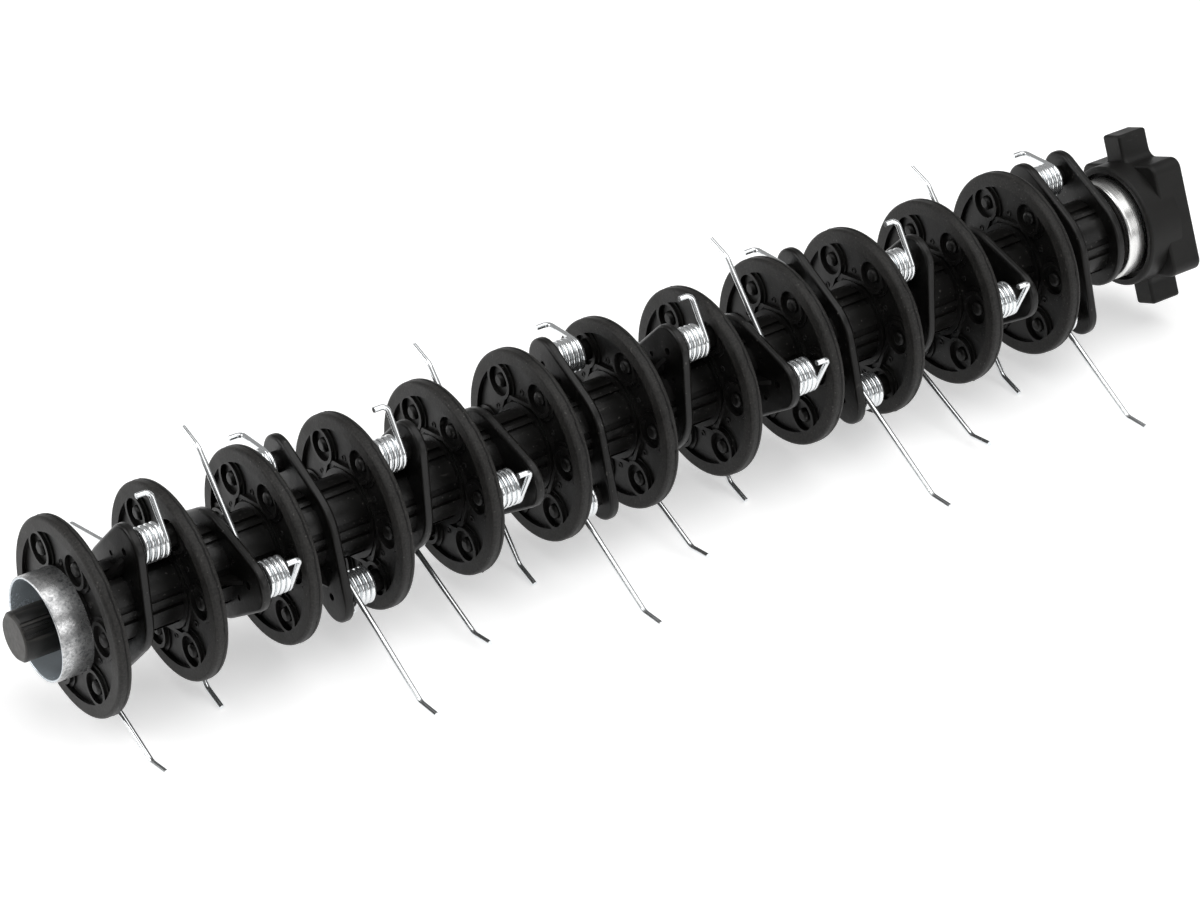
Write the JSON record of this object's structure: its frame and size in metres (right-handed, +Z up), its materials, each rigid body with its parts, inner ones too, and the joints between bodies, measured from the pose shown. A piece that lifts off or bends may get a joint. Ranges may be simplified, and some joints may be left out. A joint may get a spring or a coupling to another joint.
{
  "type": "spring tine roller for a lawn scarifier",
  "caption": "Scarifier roller with moulded discs, lobed carriers and free-swinging spring wire tines on a keyed shaft, driven at one end and carried by a bearing housing at the other.",
  "frame": {"origin": "on the roller's axis, at the front face of the first disc, where the drive stub starts", "axes": "+X along the roller from the drive end to the bearing end, +Z up as it lies on a bench"},
  "size_m": [0.4155, 0.1018, 0.07],
  "materials": {
    "black_plastic": "fine grained black nylon",
    "black_steel": "black oxide, satin",
    "zinc_wire": "bright zinc plate",
    "galvanised_steel": "mottled zinc",
    "bright_steel": "satin pressed steel",
    "bearing_steel": "ground",
    "cage_steel": "pressed",
    "black_rubber": "matt moulded"
  },
  "bodies": {
    "roller": {"drive_shaft": "black_steel", "drive_ring": "galvanised_steel", "disc_01": "black_plastic", "disc_02": "black_plastic", "disc_03": "black_plastic", "disc_04": "black_plastic", "disc_05": "black_plastic", "disc_06": "black_plastic", "disc_07": "black_plastic", "disc_08": "black_plastic", "disc_09": "black_plastic", "disc_10": "black_plastic", "disc_11": "black_plastic", "disc_12": "black_plastic", "carrier_01": "black_plastic", "carrier_02": "black_plastic", "carrier_03": "black_plastic", "carrier_04": "black_plastic", "carrier_05": "black_plastic", "carrier_06": "black_plastic", "carrier_07": "black_plastic", "carrier_08": "black_plastic", "carrier_09": "black_plastic", "carrier_10": "black_plastic", "carrier_11": "black_plastic", "carrier_12": "black_plastic", "end_carrier": "black_plastic", "bearing_inner_race": "bearing_steel", "end_washer": "galvanised_steel", "end_screw": "bearing_steel"},
    "bearing": {"bearing_housing": "black_rubber", "bearing_cup": "bright_steel", "bearing_outer_race": "bearing_steel", "bearing_balls": "bearing_steel", "bearing_cage": "cage_steel"},
    "body_tine_01": {"tine_01": "zinc_wire"},
    "body_tine_02": {"tine_02": "zinc_wire"},
    "body_tine_03": {"tine_03": "zinc_wire"},
    "body_tine_04": {"tine_04": "zinc_wire"},
    "body_tine_05": {"tine_05": "zinc_wire"},
    "body_tine_06": {"tine_06": "zinc_wire"},
    "body_tine_07": {"tine_07": "zinc_wire"},
    "body_tine_08": {"tine_08": "zinc_wire"},
    "body_tine_09": {"tine_09": "zinc_wire"},
    "body_tine_10": {"tine_10": "zinc_wire"},
    "body_tine_11": {"tine_11": "zinc_wire"},
    "body_tine_12": {"tine_12": "zinc_wire"},
    "body_tine_13": {"tine_13": "zinc_wire"},
    "body_tine_14": {"tine_14": "zinc_wire"},
    "body_tine_15": {"tine_15": "zinc_wire"},
    "body_tine_16": {"tine_16": "zinc_wire"},
    "body_tine_17": {"tine_17": "zinc_wire"},
    "body_tine_18": {"tine_18": "zinc_wire"},
    "body_tine_19": {"tine_19": "zinc_wire"},
    "body_tine_20": {"tine_20": "zinc_wire"},
    "body_tine_21": {"tine_21": "zinc_wire"},
    "body_tine_22": {"tine_22": "zinc_wire"},
    "body_tine_23": {"tine_23": "zinc_wire"},
    "body_tine_24": {"tine_24": "zinc_wire"}
  },
  "joints": [
    {"name": "roller_spin", "type": "hinge", "parent": "roller", "child": "bearing", "pos_m": [0.3886, 0, 0], "axis": [1, 0, 0], "continuous": true},
    {"name": "tine_01_swing", "type": "hinge", "parent": "roller", "child": "body_tine_01", "pos_m": [0.00915, 0.00684, -0.01986], "axis": [1, 0, 0], "range_deg": [-34.79, 137]},
    {"name": "tine_02_swing", "type": "hinge", "parent": "roller", "child": "body_tine_02", "pos_m": [0.02395, -0.00684, 0.01986], "axis": [1, 0, 0], "range_deg": [0, 171.8]},
    {"name": "tine_03_swing", "type": "hinge", "parent": "roller", "child": "body_tine_03", "pos_m": [0.03995, 0.02061, -0.00401], "axis": [1, 0, 0], "range_deg": [0, 171.8]},
    {"name": "tine_04_swing", "type": "hinge", "parent": "roller", "child": "body_tine_04", "pos_m": [0.05475, -0.02061, 0.00401], "axis": [1, 0, 0], "range_deg": [0, 171.8]},
    {"name": "tine_05_swing", "type": "hinge", "parent": "roller", "child": "body_tine_05", "pos_m": [0.07075, 0.01378, 0.01585], "axis": [1, 0, 0], "range_deg": [0, 171.8]},
    {"name": "tine_06_swing", "type": "hinge", "parent": "roller", "child": "body_tine_06", "pos_m": [0.08555, -0.01378, -0.01585], "axis": [1, 0, 0], "range_deg": [-100.79, 71]},
    {"name": "tine_07_swing", "type": "hinge", "parent": "roller", "child": "body_tine_07", "pos_m": [0.10155, -0.00684, 0.01986], "axis": [1, 0, 0], "range_deg": [0, 171.8]},
    {"name": "tine_08_swing", "type": "hinge", "parent": "roller", "child": "body_tine_08", "pos_m": [0.11635, 0.00684, -0.01986], "axis": [1, 0, 0], "range_deg": [-34.79, 137]},
    {"name": "tine_09_swing", "type": "hinge", "parent": "roller", "child": "body_tine_09", "pos_m": [0.13235, -0.02061, 0.00401], "axis": [1, 0, 0], "range_deg": [0, 171.8]},
    {"name": "tine_10_swing", "type": "hinge", "parent": "roller", "child": "body_tine_10", "pos_m": [0.14715, 0.02061, -0.00401], "axis": [1, 0, 0], "range_deg": [0, 171.8]},
    {"name": "tine_11_swing", "type": "hinge", "parent": "roller", "child": "body_tine_11", "pos_m": [0.16315, -0.01378, -0.01585], "axis": [1, 0, 0], "range_deg": [-100.79, 71]},
    {"name": "tine_12_swing", "type": "hinge", "parent": "roller", "child": "body_tine_12", "pos_m": [0.17795, 0.01378, 0.01585], "axis": [1, 0, 0], "range_deg": [0, 171.8]},
    {"name": "tine_13_swing", "type": "hinge", "parent": "roller", "child": "body_tine_13", "pos_m": [0.19395, 0.00684, -0.01986], "axis": [1, 0, 0], "range_deg": [-34.79, 137]},
    {"name": "tine_14_swing", "type": "hinge", "parent": "roller", "child": "body_tine_14", "pos_m": [0.20875, -0.00684, 0.01986], "axis": [1, 0, 0], "range_deg": [0, 171.8]},
    {"name": "tine_15_swing", "type": "hinge", "parent": "roller", "child": "body_tine_15", "pos_m": [0.22475, 0.02061, -0.00401], "axis": [1, 0, 0], "range_deg": [0, 171.8]},
    {"name": "tine_16_swing", "type": "hinge", "parent": "roller", "child": "body_tine_16", "pos_m": [0.23955, -0.02061, 0.00401], "axis": [1, 0, 0], "range_deg": [0, 171.8]},
    {"name": "tine_17_swing", "type": "hinge", "parent": "roller", "child": "body_tine_17", "pos_m": [0.25555, 0.01378, 0.01585], "axis": [1, 0, 0], "range_deg": [0, 171.8]},
    {"name": "tine_18_swing", "type": "hinge", "parent": "roller", "child": "body_tine_18", "pos_m": [0.27035, -0.01378, -0.01585], "axis": [1, 0, 0], "range_deg": [-100.79, 71]},
    {"name": "tine_19_swing", "type": "hinge", "parent": "roller", "child": "body_tine_19", "pos_m": [0.28635, -0.00684, 0.01986], "axis": [1, 0, 0], "range_deg": [0, 171.8]},
    {"name": "tine_20_swing", "type": "hinge", "parent": "roller", "child": "body_tine_20", "pos_m": [0.30115, 0.00684, -0.01986], "axis": [1, 0, 0], "range_deg": [-34.79, 137]},
    {"name": "tine_21_swing", "type": "hinge", "parent": "roller", "child": "body_tine_21", "pos_m": [0.31715, -0.02061, 0.00401], "axis": [1, 0, 0], "range_deg": [0, 171.8]},
    {"name": "tine_22_swing", "type": "hinge", "parent": "roller", "child": "body_tine_22", "pos_m": [0.33195, 0.02061, -0.00401], "axis": [1, 0, 0], "range_deg": [0, 171.8]},
    {"name": "tine_23_swing", "type": "hinge", "parent": "roller", "child": "body_tine_23", "pos_m": [0.34795, -0.01378, -0.01585], "axis": [1, 0, 0], "range_deg": [-100.79, 71]},
    {"name": "tine_24_swing", "type": "hinge", "parent": "roller", "child": "body_tine_24", "pos_m": [0.36275, 0.01378, 0.01585], "axis": [1, 0, 0], "range_deg": [0, 171.8]}
  ]
}
